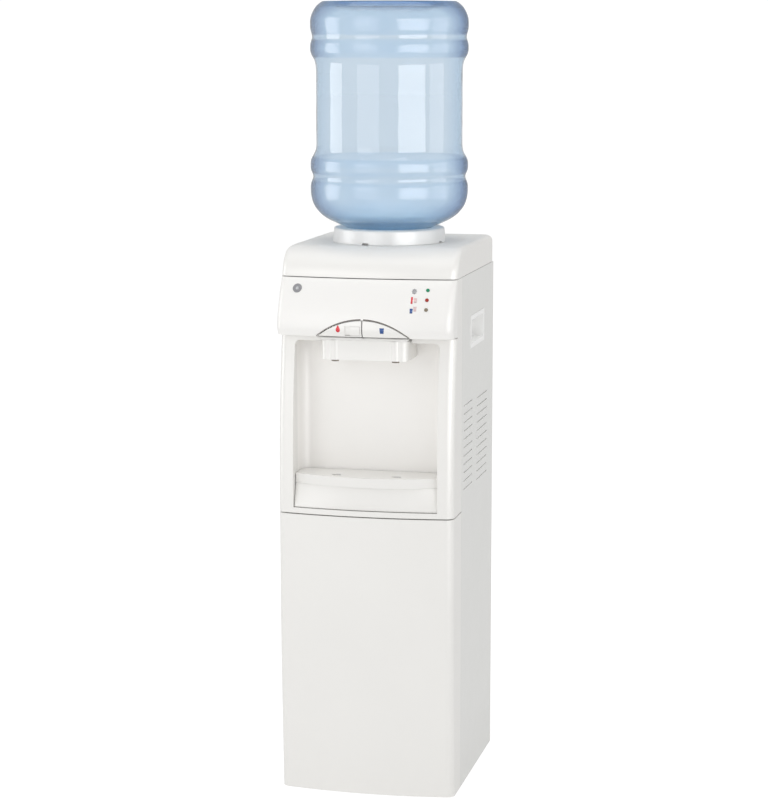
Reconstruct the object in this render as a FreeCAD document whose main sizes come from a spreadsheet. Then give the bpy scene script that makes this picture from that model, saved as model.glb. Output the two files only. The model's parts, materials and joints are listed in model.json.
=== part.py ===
"""Free-standing bottled-water cooler: hot and cold press-key faucets under a bowed header, an
open dispensing recess with a pull-out drip tray, and an inverted 18.9 litre bottle on top.

Millimetres, +Z up, front towards -Y, origin on the floor at the centre of the footprint.
"""
import FreeCAD, Part
import math
import os
import re
import Sketcher
from FreeCAD import Placement, Rotation, Vector

os.makedirs("parts", exist_ok=True)
doc = FreeCAD.newDocument("water_cooler")

# ---------------------------------------------------------------- driving dimensions
DIMENSIONS = {
    # cabinet
    "cab_half": (152, "half the cabinet's width"),
    "cab_rear": (168, "rear edge of the side panels"),
    "cab_low": (1, "lower edge of the cabinet's skins"),
    "cab_high": (892.2, "upper edge of the side panels"),
    "sheet": (1.2, "steel sheet"),
    "wall": (3, "moulded wall of the front panels"),
    "bow": (14, "how far the front bulges in plan, edge to middle"),
    "corner": (14, "rounding of the front's upright corners"),
    "return_y": (-118, "where the front panels' side returns meet the steel side panels"),
    "axis_y": (-6, "bottle, collar and cold tank axis"),
    # front, from the floor up
    "door_high": (489, "top of the lower front panel"),
    "frame_low": (491, "bottom of the front frame"),
    "frame_high": (793, "top of the frame's pillars"),
    "open_half": (125, "half the width of the dispensing opening"),
    "open_low": (500, "sill of the opening"),
    "open_high": (786, "head of the opening"),
    "liner_front": (-161, "front edge of the recess liner"),
    "liner_back": (-125, "recess back wall, front face"),
    "liner_wall": (2.5, "recess liner wall"),
    # header
    "header_low": (796, "lower edge of the header"),
    "header_high": (891.5, "upper edge of the header"),
    "header_back": (-158, "rear edge of the header's side returns"),
    "arch_half": (80.5, "half the width of the arch that holds the two keys"),
    "arch_high": (826, "crown of the arch"),
    "key_gap": (1.2, "gap round the keys"),
    "key_wall": (3.3, "key face thickness"),
    "pivot_y": (-158, "key pivot axis"),
    "pivot_z": (808, "key pivot axis"),
    "pivot_rad": (1.5, "key pivot pin"),
    # faucets
    "faucet_x": (52, "faucet axis either side of the middle"),
    "faucet_y": (-186, "faucet axis"),
    "nozzle_low": (753.5, "tip of the nozzles"),
    "housing_half": (75, "half the faucet housing's width"),
    "housing_low": (757, "underside of the faucet housing"),
    "housing_high": (790, "top of the faucet housing"),
    "housing_front": (-197, "front face of the faucet housing"),
    "shroud_rad": (12, "rounded nozzle shroud"),
    "arm_z": (784, "height of the faucets' supply arms"),
    "hose_rad": (4.5, "hose and arm, outside"),
    "hose_bore": (3, "hose and arm, inside"),
    # drip tray
    "tray_half": (123.8, "half the drip tray's width"),
    "tray_low": (501.2, "underside of the drip tray"),
    "tray_high": (540.6, "rim of the drip tray"),
    "cover_low": (541, "lower edge of the drip cover"),
    "cover_high": (557.5, "top of the drip cover"),
    "tray_back": (-127, "rear of the drip tray and its cover"),
    # top cover, collar and bottle
    "top_low": (893, "lower edge of the top cover"),
    "top_high": (941, "top of the cabinet"),
    "top_front": (-163.5, "front corners of the top cover"),
    "top_depth": (62, "depth of the front's quarter-round shoulder"),
    "top_round": (10, "rounding of the top's side and rear edges"),
    "collar_rad": (97.5, "bottle collar, at its foot"),
    "collar_high": (966, "top of the bottle collar"),
    "spigot_rad": (79.5, "collar's spigot in the top cover"),
    "bottle_rad": (126, "bottle body"),
    "ring_rad": (136, "bottle's rings"),
    "bottle_high": (1352, "top of the inverted bottle"),
    "bottle_wall": (2, "bottle wall"),
    "neck_rad": (28, "bottle neck, outside"),
    "neck_low": (896, "mouth of the bottle"),
    "probe_rad": (8.5, "feed probe"),
    # water system
    "tank_rad": (70, "cold tank, outside"),
    "tank_low": (745, "bottom of the cold tank"),
    "tank_high": (878, "top of the cold tank"),
    "foam_rad": (98, "cold tank insulation, outside"),
    "boiler_x": (-45, "hot tank axis"),
    "boiler_y": (-30, "hot tank axis"),
    "boiler_rad": (50, "hot tank, outside"),
    "boiler_low": (540, "bottom of the hot tank"),
    "boiler_high": (690, "top of the hot tank"),
    "drain_x": (-70, "drain outlet"),
    "drain_z": (240, "drain outlet"),
    # refrigeration
    "comp_x": (20, "compressor axis"),
    "comp_y": (60, "compressor axis"),
    "comp_rad": (72, "compressor shell"),
    "pipe_rad": (2.4, "condenser pipe"),
    "coil_y": (202.9, "plane of the condenser pipe"),
    "coil_low": (262, "lowest run of the condenser"),
    "coil_pitch": (48, "spacing of the condenser's runs"),
    "coil_half": (112, "condenser bends, either side of the middle"),
    "rear_most": (212.5, "rear of the condenser's brackets"),
    # rear switch plate
    "plate_x": (-102, "middle of the switch plate"),
    "plate_y": (160, "front of the switch plate"),
    "rocker_x": (16, "rocker either side of the plate's middle"),
    "rocker_z": (160, "rocker pivots"),
    "rocker_y": (161.25, "rocker pivots"),
}

sheet = doc.addObject("Spreadsheet::Sheet", "Dims")
for row, (alias, (value, note)) in enumerate(DIMENSIONS.items(), start=1):
    sheet.set(f"A{row}", note)
    sheet.set(f"B{row}", str(value))
    sheet.setAlias(f"B{row}", alias)
doc.recompute()

NAMES = re.compile(r"\b(" + "|".join(DIMENSIONS) + r")\b")
nodes = []


# ---------------------------------------------------------------- helpers
def bound(expression):
    """A sheet expression, from text or a number that uses the aliases as plain words."""
    return NAMES.sub(r"Dims.\1", str(expression))


def dim(expression):
    """The present value of an expression."""
    return float(sheet.evalExpression(bound(expression)))


def node(name, part):
    """Register a finished sub-part under its node name."""
    part.Label = name
    nodes.append(part)
    return part


def move(part, x=0, y=0, z=0):
    """Bind a part's place to the sheet."""
    for axis, value in zip("xyz", (x, y, z)):
        part.setExpression(f"Placement.Base.{axis}", bound(value))
    return part


def box(name, x, y, z):
    """Block between the low and high expressions of each axis."""
    block = doc.addObject("Part::Box", name)
    for side, (low, high) in zip(("Length", "Width", "Height"), (x, y, z)):
        block.setExpression(side, bound(f"({high}) - ({low})"))
    return move(block, x[0], y[0], z[0])


TURNS = {"x": Rotation(Vector(0, 1, 0), 90), "y": Rotation(Vector(1, 0, 0), -90), "z": Rotation()}


def rod(name, axis, radius, x, y, z):
    """Cylinder along one axis, whose entry is a (low, high) pair; the others are its centre."""
    place = {"x": x, "y": y, "z": z}
    low, high = place[axis]
    place[axis] = low
    cylinder = doc.addObject("Part::Cylinder", name)
    cylinder.setExpression("Radius", bound(radius))
    cylinder.setExpression("Height", bound(f"({high}) - ({low})"))
    cylinder.Placement = Placement(Vector(), TURNS[axis])
    return move(cylinder, **place)


def fuse(name, *parts):
    """One solid from several."""
    union = doc.addObject("Part::MultiFuse", name)
    union.Shapes = list(parts)
    return union


def group(name, *parts):
    """Several loose solids in one node."""
    compound = doc.addObject("Part::Compound", name)
    compound.Links = list(parts)
    return compound


def cut(name, base, *tools):
    """Base less the tools."""
    result = doc.addObject("Part::Cut", name)
    result.Base = base
    result.Tool = tools[0] if len(tools) == 1 else fuse(name + "_tools", *tools)
    return result


def common(name, base, tool):
    """What two solids share."""
    result = doc.addObject("Part::Common", name)
    result.Base = base
    result.Tool = tool
    return result


def rounded(name, base, radius, chosen):
    """Fillet the edges of a part for which chosen(edge) is true."""
    doc.recompute()
    result = doc.addObject("Part::Fillet", name)
    result.Base = base
    size = dim(radius)
    result.Edges = [(i, size, size) for i, edge in enumerate(base.Shape.Edges, start=1) if chosen(edge)]
    return result


def upright(edge):
    """True for an edge along Z."""
    return edge.BoundBox.XLength < 1e-3 and edge.BoundBox.YLength < 1e-3


def sketch_on(body, role, points, offset=0):
    """Closed sketch through (u, v) points; a point (u, v, radius, side) ends an arc."""
    sketch = body.newObject("Sketcher::SketchObject", body.Name + "_sketch")
    plane = next(item for item in body.Origin.OriginFeatures if item.Role == role)
    sketch.AttachmentSupport = [(plane, "")]
    sketch.MapMode = "FlatFace"
    sketch.setExpression("AttachmentOffset.Base.z", bound(offset))
    corners = [Vector(dim(point[0]), dim(point[1]), 0) for point in points]
    starts, ends, arcs = [], [], []
    for i, corner in enumerate(corners):
        following = (i + 1) % len(corners)
        target = points[following]
        if len(target) == 2:
            sketch.addGeometry(Part.LineSegment(corner, corners[following]))
            starts.append(1)
            ends.append(2)
            continue
        chord = corners[following] - corner
        radius = dim(target[2])
        sagitta = radius - math.sqrt(radius ** 2 - chord.Length ** 2 / 4)
        normal = Vector(-chord.y, chord.x, 0).normalize() * target[3]
        middle = corner + chord * 0.5 + normal * sagitta
        sketch.addGeometry(Part.Arc(corner, middle, corners[following]))
        forward = sketch.Geometry[i].StartPoint.distanceToPoint(corner) < 1e-6
        starts.append(1 if forward else 2)
        ends.append(2 if forward else 1)
        arcs.append((i, target[2]))
    for i in range(len(corners)):
        following = (i + 1) % len(corners)
        joint = Sketcher.Constraint("Coincident", i, ends[i], following, starts[following])
        sketch.addConstraint(joint)
    for i, point in enumerate(points):
        places = (("DistanceX", point[0], corners[i].x), ("DistanceY", point[1], corners[i].y))
        for kind, value, number in places:
            index = sketch.addConstraint(Sketcher.Constraint(kind, -1, 1, i, starts[i], number))
            sketch.setExpression(f"Constraints[{index}]", bound(value))
    for i, radius in arcs:
        index = sketch.addConstraint(Sketcher.Constraint("Radius", i, dim(radius)))
        sketch.setExpression(f"Constraints[{index}]", bound(radius))
    return sketch


def lathe(name, points, x=0, y=0):
    """Body turned about an upright axis from (radius, height) points."""
    body = doc.addObject("PartDesign::Body", name)
    sketch = sketch_on(body, "XZ_Plane", points)
    turned = body.newObject("PartDesign::Revolution", name + "_turned")
    turned.Profile = sketch
    turned.ReferenceAxis = (sketch, ["V_Axis"])
    turned.Angle = 360
    return move(body, x, y)


def prism(name, role, points, low, high):
    """Body padded between two heights over XY_Plane, or two x over YZ_Plane, or two y over XZ_Plane."""
    body = doc.addObject("PartDesign::Body", name)
    offset = f"-({high})" if role == "XZ_Plane" else low
    sketch = sketch_on(body, role, points, offset)
    pad = body.newObject("PartDesign::Pad", name + "_pad")
    pad.Profile = sketch
    pad.setExpression("Length", bound(f"({high}) - ({low})"))
    return body


def feature(name, shape, place=None):
    """Part whose shape is made in code from sheet values."""
    part = doc.addObject("Part::Feature", name)
    part.Shape = shape
    if place:
        part.Placement = place
    return part


def route(points, bend):
    """Wire of straight runs through points, joined by tangent arcs of the bend radius."""
    points = [Vector(*(dim(value) for value in point)) for point in points]
    edges = []
    start = points[0]
    for before, here, after in zip(points, points[1:], points[2:]):
        incoming = (here - before).normalize()
        outgoing = (after - here).normalize()
        half_turn = incoming.getAngle(outgoing) / 2
        reach = bend * math.tan(half_turn)
        first = here - incoming * reach
        last = here + outgoing * reach
        inward = (outgoing - incoming).normalize()
        centre = here + inward * (bend / math.cos(half_turn))
        edges.append(Part.LineSegment(start, first).toShape())
        edges.append(Part.Arc(first, centre - inward * bend, last).toShape())
        start = last
    edges.append(Part.LineSegment(start, points[-1]).toShape())
    return Part.Wire(edges), points[0], (points[1] - points[0]).normalize()


def pipe_shape(points, bend, radius, bore=0):
    """Round pipe along a route."""
    wire, start, direction = route(points, bend)
    solid = wire.makePipeShell([Part.Wire(Part.makeCircle(radius, start, direction))], True, False)
    if not bore:
        return solid
    return solid.cut(wire.makePipeShell([Part.Wire(Part.makeCircle(bore, start, direction))], True, False))


def coil_shape(radius, pitch, turns, wire_radius, x, y, z):
    """Wire wound upwards about an upright axis, lofted through eight-sided sections."""
    wires = []
    for step in range(32 * turns + 1):
        angle = math.tau * step / 32
        out = Vector(math.cos(angle), math.sin(angle), 0)
        along = Vector(-radius * math.sin(angle), radius * math.cos(angle), pitch / math.tau)
        up = out.cross(along).normalize()
        centre = Vector(x, y, z + pitch * step / 32) + out * radius
        turns_round = [math.tau * k / 8 for k in range(8)]
        rim = [centre + (out * math.cos(a) + up * math.sin(a)) * wire_radius for a in turns_round]
        wires.append(Part.makePolygon([*rim, rim[0]]))
    return Part.makeLoft(wires, True, True)


def outline(z, half, front, back, bow, corner, rear_corner=0):
    """Plan outline at one height: bowed front, straight sides, rounded corners."""
    big = (half ** 2 + bow ** 2) / (2 * bow)
    middle_y = front - bow + big
    corner_x = half - corner
    corner_y = middle_y - math.sqrt((big - corner) ** 2 - corner_x ** 2)
    reach = big / (big - corner)
    join = Vector(corner_x * reach, middle_y + (corner_y - middle_y) * reach, z)
    slope = math.atan2(join.y - corner_y, join.x - corner_x) / 2
    mid = Vector(corner_x + corner * math.cos(slope), corner_y + corner * math.sin(slope), z)
    side = Vector(half, corner_y, z)
    rear = Vector(half, back - rear_corner, z)

    def mirrored(point):
        return Vector(-point.x, point.y, point.z)

    edges = [
        Part.Arc(mirrored(join), Vector(0, front - bow, z), join).toShape(),
        Part.Arc(join, mid, side).toShape(),
        Part.LineSegment(side, rear).toShape(),
    ]
    last = rear
    if rear_corner:
        last = Vector(half - rear_corner, back, z)
        knee = rear_corner * (1 - math.sqrt(0.5))
        edges.append(Part.Arc(rear, Vector(half - knee, back - knee, z), last).toShape())
    edges.append(Part.LineSegment(last, mirrored(last)).toShape())
    if rear_corner:
        edges.append(Part.Arc(mirrored(last), Vector(knee - half, back - knee, z), mirrored(rear)).toShape())
    edges.append(Part.LineSegment(mirrored(rear), mirrored(side)).toShape())
    edges.append(Part.Arc(mirrored(side), mirrored(mid), mirrored(join)).toShape())
    return Part.Wire(edges)


def bowed(name, stations, inset=0, back="return_y", low=None, high=None):
    """Solid lofted through (height, front corner y) stations, inset all round by a wall."""
    heights = [station[0] for station in stations]
    if low is not None:
        heights[0] = low
    if high is not None:
        heights[-1] = high
    half = dim("cab_half") - inset
    wires = [
        outline(z, half, front + inset, dim(back), dim("bow"), dim("corner") - inset * 0.8)
        for z, (_, front) in zip(heights, stations)
    ]
    return feature(name, Part.makeLoft(wires, True, False))


def shell(name, stations, low_wall, high_wall):
    """Front moulding open at the back, with or without a lower and an upper wall."""
    wall = dim("wall")
    outer = bowed(name + "_outer", stations)
    low = stations[0][0] + (wall if low_wall else -1)
    high = stations[-1][0] - (wall if high_wall else -1)
    inner = bowed(name + "_inner", stations, wall, "return_y + 1", low, high)
    return outer, inner


# ---------------------------------------------------------------- floor pan, feet and side panels
def floor_pan():
    tray = box("pan_tray", ("3 - cab_half", "cab_half - 3"), (-150, 164), (8, 30))
    hollow_x = ("3 - cab_half + sheet", "cab_half - 3 - sheet")
    hollow = box("pan_hollow", hollow_x, ("-150 + sheet", "164 - sheet"), ("8 + sheet", 31))
    node("base_plate", cut("base_plate", tray, hollow))

    feet = []
    for i, (x, y) in enumerate([(-125, -130), (125, -130), (-125, 140), (125, 140)]):
        foot = lathe(f"foot_{i}", [(0, 0), (12, 0), (14, 2), (14, 8), (0, 8)], x, y)
        feet.append(foot)
    node("feet", group("feet", *feet))


LOUVRE_PITCH = 14.5
LOUVRE_COUNT = 11
LOUVRE_COLUMNS = ((-100, -24, 524), (18, 112, 520))
GRIP_Y = (-42, 74)
GRIP_Z = (766, 814)


def inside(span, margin):
    """Span drawn in by a margin at both ends; a negative margin widens it."""
    return (span[0] + margin, span[1] - margin)


def side_panel(name, side):
    """Steel side with rear and lower flanges, two columns of louvres and a grip opening."""
    low_x = "cab_half - sheet" if side > 0 else "-cab_half"
    if side > 0:
        flange_x = ("cab_half - 15", "cab_half - sheet")
        hood_x = ("cab_half - 5.5", "cab_half - sheet")
    else:
        flange_x = ("sheet - cab_half", "15 - cab_half")
        hood_x = ("sheet - cab_half", "5.5 - cab_half")
    skin_x = (low_x, f"{low_x} + sheet")
    skin = box(name + "_skin", skin_x, ("return_y + 0.5", "cab_rear"), ("cab_low", "cab_high"))
    rear = box(name + "_rear", flange_x, ("cab_rear - sheet", "cab_rear"), ("cab_low", "cab_high"))
    through = (f"{low_x} - 1", f"{low_x} + sheet + 1")
    slots, hoods = [], []
    for column, (front, back, base) in enumerate(LOUVRE_COLUMNS):
        for i in range(LOUVRE_COUNT):
            z = base + i * LOUVRE_PITCH
            tag = f"{name}_{column}_{i}"
            slots.append(box(tag + "_slot", through, (front, back), (z, z + 2.4)))
            hoods.append(box(tag + "_hood", hood_x, (front - 2, back + 2), (z - 1, z)))
    grip = box(name + "_grip", through, inside(GRIP_Y, 1), inside(GRIP_Z, 1))
    node(name, cut(name, fuse(name + "_blank", skin, rear, *hoods), grip, *slots))


def side_grip(name, side):
    """Finger cup set into the side panel, with a thin rim lying on the steel."""
    def span(near, far):
        if side > 0:
            return (f"cab_half + {near}", f"cab_half + {far}")
        return (f"-cab_half - {far}", f"-cab_half - {near}")

    rim = box(name + "_rim", span(0.1, 0.9), inside(GRIP_Y, -4), inside(GRIP_Z, -4))
    cup = box(name + "_cup", span(-28, 0.5), inside(GRIP_Y, 1.3), inside(GRIP_Z, 1.3))
    hollow = box(name + "_hollow", span(-26, 2), inside(GRIP_Y, 3.5), inside(GRIP_Z, 3.5))
    node(name, cut(name, fuse(name + "_blank", rim, cup), hollow))


def rear_panel():
    skin_y = ("cab_rear - 3", "cab_rear - 1.6")
    skin = box("rear_skin", ("3 - cab_half", "cab_half - 3"), skin_y, (225, 885))
    drain = rod("rear_drain_hole", "y", 9.5, "drain_x", (150, 180), "drain_z")
    slots = []
    for i in range(7):
        slots.append(box(f"rear_slot_{i}", (-70, 70), (150, 180), (300 + 26 * i, 304 + 26 * i)))
    node("rear_panel", cut("rear_panel", skin, drain, *slots))
    screws = []
    for i, (x, z) in enumerate([(x, z) for x in (-143, 143) for z in (240, 450, 660, 870)]):
        head = rod(f"screw_head_{i}", "y", 3.5, x, ("cab_rear", "cab_rear + 2"), z)
        screws.append(head)
    node("panel_screws", group("panel_screws", *screws))


# ---------------------------------------------------------------- front mouldings
DOOR_FRONT = ((1, -173.5), (130, -180), (260, -185.5), (380, -187.5), (489, -188.5))
FRAME_FRONT = ((491, -188.5), (560, -188.5), (620, -187), (680, -183.5), (735, -177.5), (793, -168))
HEADER_FRONT = (
    (796, -192), (806, -198.5), (818, -198.5), (835, -194.5), (853, -187.5), (873, -178), (891.5, -165),
)


def lower_front_panel():
    outer, inner = shell("door", DOOR_FRONT, False, True)
    node("lower_front_panel", cut("lower_front_panel", outer, inner))


def front_frame():
    """Pillars and sill round the dispensing opening, and side returns up behind the header."""
    outer, inner = shell("frame", FRAME_FRONT, True, True)
    throat = box("frame_throat", ("-open_half - wall", "open_half + wall"), (-260, "liner_front"),
                 ("open_low - wall", "frame_high + 5"))
    hollow = cut("frame_hollow", inner, throat)
    opening = box("frame_opening", ("-open_half", "open_half"), (-260, -100), ("open_low", "open_high"))
    opening = rounded("frame_opening_round", opening, 9, lambda edge: edge.BoundBox.XLength < 1e-3
                      and edge.BoundBox.ZLength < 1e-3 and edge.BoundBox.ZMin > dim("open_high") - 1)
    faucet_x = ("-housing_half - 3", "housing_half + 3")
    faucet_gap = box("frame_faucet_gap", faucet_x, (-260, -100), (770, "frame_high + 5"))
    returns_y = ("header_back + 0.5", "return_y")
    returns = box("frame_returns", ("-cab_half", "cab_half"), returns_y, ("frame_high - 1", "cab_high"))
    between = ("wall - cab_half", "cab_half - wall")
    core = box("frame_core", between, (-200, -100), ("frame_high - 2", "cab_high - 3"))
    upper = cut("frame_upper", returns, core)
    lower = cut("frame_lower", outer, hollow, opening, faucet_gap)
    node("front_frame", fuse("front_frame", lower, upper))


def recess_liner():
    """Tub behind the opening, with soft upright corners and a gap over the faucets."""
    outside = box("liner_outside", ("-open_half - liner_wall - 0.3", "open_half + liner_wall + 0.3"),
                  ("liner_front + 0.3", "liner_back + liner_wall"), ("open_low - 3", "open_high + liner_wall"))
    hollow_x = ("-open_half - 0.3", "open_half + 0.3")
    hollow = box("liner_inside", hollow_x, (-200, "liner_back"), ("open_low - 0.5", "open_high"))

    def at_back(edge):
        return upright(edge) and edge.BoundBox.YMin > -150

    hollow = rounded("liner_inside_round", hollow, 18, at_back)
    gap_x = ("-housing_half - 3", "housing_half + 3")
    gap = box("liner_gap", gap_x, (-200, "liner_back - 0.2"), (780, 795))
    holes = []
    for side in (-1, 1):
        axis_x = f"{side} * faucet_x"
        holes.append(rod(f"liner_hole_{side}", "y", "hose_rad + 0.4", axis_x, (-130, -110), "arm_z"))
    node("recess_liner", cut("recess_liner", outside, hollow, gap, *holes))


def front_place(skin, x, z, outward=0):
    """Place on a bowed skin at (x, z) with local Z along the outward normal."""
    def depth(at_x, at_z):
        probe = Part.makeLine(Vector(at_x, -300, at_z), Vector(at_x, -150, at_z))
        return skin.Shape.common(probe).BoundBox.YMin

    y = depth(x, z)
    tilt = math.atan2(depth(x, z + 3) - depth(x, z - 3), 6)
    swing = math.atan2(depth(x + 3, z) - depth(x - 3, z), 6)
    sideways = Rotation(Vector(0, 0, 1), math.degrees(swing))
    upwards = Rotation(Vector(1, 0, 0), 90 - math.degrees(tilt))
    place = Placement(Vector(x, y, z), sideways * upwards)
    return place.multiply(Placement(Vector(0, 0, outward), Rotation()))


def disc(name, place, radius, depth, proud):
    """Round piece let into a skin at a place."""
    cylinder = doc.addObject("Part::Cylinder", name)
    cylinder.Radius = radius
    cylinder.Height = depth + proud
    cylinder.Placement = place.multiply(Placement(Vector(0, 0, -depth), Rotation()))
    return cylinder


LAMPS = (("led_green", 876), ("led_red", 860.5), ("led_amber", 845))
LAMP_X = 106.4
BADGE = (-118.2, 874.5)


def arch(name, low_x, high_x, shrink, front, back):
    """Upright prism under the arch between two x, for the key opening and the key faces."""
    rise = dim("arch_high - header_low")
    span = dim("arch_half")
    radius = (span ** 2 + rise ** 2) / (2 * rise)
    centre_z = dim("arch_high") - radius
    blank = rod(name + "_disc", "y", radius - shrink, 0, (front, back), centre_z)
    slab = box(name + "_slab", (low_x, high_x), (front, back), ("header_low - 4", "arch_high + 5"))
    return common(name, blank, slab)


def header():
    """Sloping header with the arch for the keys, lamp holes and the ears of the key pivot."""
    outer, inner = shell("header", HEADER_FRONT, True, False)
    doc.recompute()
    behind = box("header_behind", (-160, 160), ("header_back", 0), (700, 950))
    arch_cut = arch("header_arch", "-arch_half - 1", "arch_half + 1", 0, -260, -170)
    under_x = ("-housing_half - 3", "housing_half + 3")
    under = box("header_under", under_x, (-260, -100), (790, "header_low + wall + 0.2"))
    holes = []
    for name, z in LAMPS:
        place = front_place(outer, LAMP_X, z)
        holes.append(disc(name + "_hole", place, 3.2, 12, 2))
        node(name, disc(name, place, 3, 9.8, 0.7))
    badge_place = front_place(outer, *BADGE)
    holes.append(disc("badge_seat", badge_place, 8.15, 0.5, 2))
    node("badge", disc("badge", badge_place, 8, 0.4, 0.6))
    board_place = front_place(outer, LAMP_X, LAMPS[1][1], -12.2)
    board = doc.addObject("Part::Box", "indicator_board")
    board.Length = 30
    board.Width = 50
    board.Height = 1.6
    board.Placement = board_place.multiply(Placement(Vector(-15, -25, 0), Rotation()))
    node("indicator_board", board)

    skin = cut("header_skin", outer, inner, behind, arch_cut, under, *holes)
    bridge = box("header_bridge", (-100, 100), ("pivot_y - 6", "pivot_y + 6"), (817, 820))
    legs = []
    for x in (-100, 100):
        legs.append(box(f"header_leg_{x}", (x - 2, x + 2), (-172, "pivot_y + 6"), ("header_low + 1", 820)))
    ears = []
    for x in (-73, 0, 73):
        ear_y = ("pivot_y - 5", "pivot_y + 5")
        ears.append(box(f"header_ear_{x}", (x - 2.5, x + 2.5), ear_y, ("pivot_z - 5", 818)))
    bore = rod("header_pivot_bore", "x", "pivot_rad + 0.05", (-90, 90), "pivot_y", "pivot_z")
    carrier = cut("header_carrier", fuse("header_carrier_blank", bridge, *legs, *ears), bore)
    node("header_panel", fuse("header_panel", skin, carrier))
    node("key_pivot_pin", rod("key_pivot_pin", "x", "pivot_rad", (-76, 76), "pivot_y", "pivot_z"))


LOCK_WINDOW = (-29.5, -3)
LOCK_TRAVEL = 8


def key(name, side, outer_face, inner_face):
    """Press key: face filling half the arch, lever over the valve stem, and pivot barrel."""
    def span(near, far):
        return (near, far) if side > 0 else (-far, -near)

    half = arch(name + "_arch", *span(0.9, dim("arch_half")), dim("key_gap"), -260, -170)
    above = box(name + "_above", (-100, 100), (-260, -150), ("header_low + 1", 830))
    wall = cut(name + "_wall", outer_face, inner_face)
    face = common(name + "_face", common(name + "_band", half, above), wall)
    arm = box(name + "_arm", span(34, 57), (-260, "pivot_y"), ("pivot_z - 2", "pivot_z + 0.5"))
    lever = common(name + "_lever", arm, outer_face)
    barrel = rod(name + "_barrel", "x", 4, span(34, 57), "pivot_y", "pivot_z")
    bore = rod(name + "_bore", "x", "pivot_rad + 0.05", span(30, 60), "pivot_y", "pivot_z")
    tools = [bore]
    if side < 0:
        window_z = ("header_low + 3.5", "header_low + 19.5")
        window = box(name + "_window", LOCK_WINDOW, (-260, -170), window_z)
        tools.append(cut(name + "_pocket", window, bowed("lock_floor", HEADER_FRONT, 2.6)))
    node(name, cut(name, fuse(name + "_blank", face, lever, barrel), *tools))


def keys():
    """Hot and cold key, and the child lock's slider in the pocket of the hot one."""
    outer_face = bowed("key_outer", HEADER_FRONT, 0.8)
    inner_face = bowed("key_inner", HEADER_FRONT, 0.8 + dim("key_wall"), "return_y", 780, 900)
    for name, side in (("hot_key", -1), ("cold_key", 1)):
        key(name, side, outer_face, inner_face)
    knob_x = (LOCK_WINDOW[0] + LOCK_TRAVEL + 0.5, LOCK_WINDOW[1] - 0.5)
    knob = box("lock_knob", knob_x, (-260, -170), ("header_low + 4", "header_low + 19"))
    knob_outer = bowed("lock_outer", HEADER_FRONT, 0.5)
    knob_inner = bowed("lock_inner", HEADER_FRONT, 2.2)
    node("child_lock", common("child_lock", knob, cut("lock_wall", knob_outer, knob_inner)))


# ---------------------------------------------------------------- faucets
def faucet_housing():
    """Bar under the header that covers both valves, with a rounded shroud round each nozzle."""
    front = dim("housing_front")
    height = ("housing_low", "housing_high")

    def at_front(edge):
        return upright(edge) and edge.BoundBox.YMax < front + 5

    body = box("housing_bar", ("-housing_half", "housing_half"), (front, "liner_back - 1"), height)
    body = rounded("housing_bar_round", body, 12, at_front)
    shrouds, holes = [], []
    for side in (-1, 1):
        x = f"{side} * faucet_x"
        shrouds.append(rod(f"housing_shroud_{side}", "z", "shroud_rad", x, "faucet_y - 1", height))
        holes.append(rod(f"housing_hole_{side}", "z", 7, x, "faucet_y", (740, 770)))
    hollow_x = ("2.5 - housing_half", "housing_half - 2.5")
    hollow_z = ("housing_low + 2.5", "housing_high + 1")
    hollow = box("housing_hollow", hollow_x, (front + 2.5, -100), hollow_z)
    hollow = rounded("housing_hollow_round", hollow, 10, at_front)
    node("faucet_housing", cut("faucet_housing", fuse("housing_blank", body, *shrouds), hollow, *holes))


def faucet(name, side):
    """Valve body with its supply arm, sprung stem and spring."""
    x = f"{side} * faucet_x"
    shell_body = lathe(name + "_shell", [
        (4.8, "nozzle_low"), (6.2, "nozzle_low"), (6.6, "nozzle_low + 1.5"), (6.6, 766), (8.2, 768),
        (8.2, 796), (2.55, 796), (2.55, 791), (5.8, 791), (5.8, 777), (4, 777), (4, 774), (6.3, 774),
        (6.3, 768), (4.8, 766),
    ], x, "faucet_y")
    arm = rod(name + "_arm", "y", "hose_rad", x, ("faucet_y + 7", -112), "arm_z")
    bore = rod(name + "_arm_bore", "y", "hose_bore", x, ("faucet_y + 5", -111), "arm_z")
    node(name + "_faucet_body", cut(name + "_faucet_body", fuse(name + "_blank", shell_body, arm), bore))
    stem = lathe(name + "_stem", [
        (0, 769), (4, 769), (5.5, 771), (5.5, 773.5), (2.5, 773.5), (2.5, 803), (3.5, 803), (3.5, 804.9),
        (3, 805.4), (0, 805.4),
    ], x, "faucet_y")
    node(name + "_valve_stem", stem)
    spring = coil_shape(4.2, 1.9, 3, 0.48, side * dim("faucet_x"), dim("faucet_y"), 796.65)
    node(name + "_valve_spring", feature(name + "_spring", spring))


# ---------------------------------------------------------------- drip tray
def tray_section(z, half, middle, ends, back, corner):
    """Plan outline of the tray: its front is an arc from the ends to the middle, its rear corners round."""
    knee = corner * (1 - math.sqrt(0.5))
    left = [
        Vector(-half + corner, back, z), Vector(knee - half, back - knee, z), Vector(-half, back - corner, z),
    ]
    right = [Vector(-point.x, point.y, z) for point in reversed(left)]
    front = [Vector(-half, ends, z), Vector(0, middle, z), Vector(half, ends, z)]
    curves = [
        Part.Arc(*left), Part.LineSegment(left[2], front[0]), Part.Arc(*front),
        Part.LineSegment(front[2], right[0]), Part.Arc(*right), Part.LineSegment(right[2], left[0]),
    ]
    return Part.Wire([curve.toShape() for curve in curves])


def tray_loft(name, sections, inset=0):
    half = dim("tray_half") - inset
    back = dim("tray_back") - inset
    wires = []
    for z, middle, ends in sections:
        wires.append(tray_section(z, half, middle + inset, ends + inset, back, 17 - inset))
    return feature(name, Part.makeLoft(wires, True, True))


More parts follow.
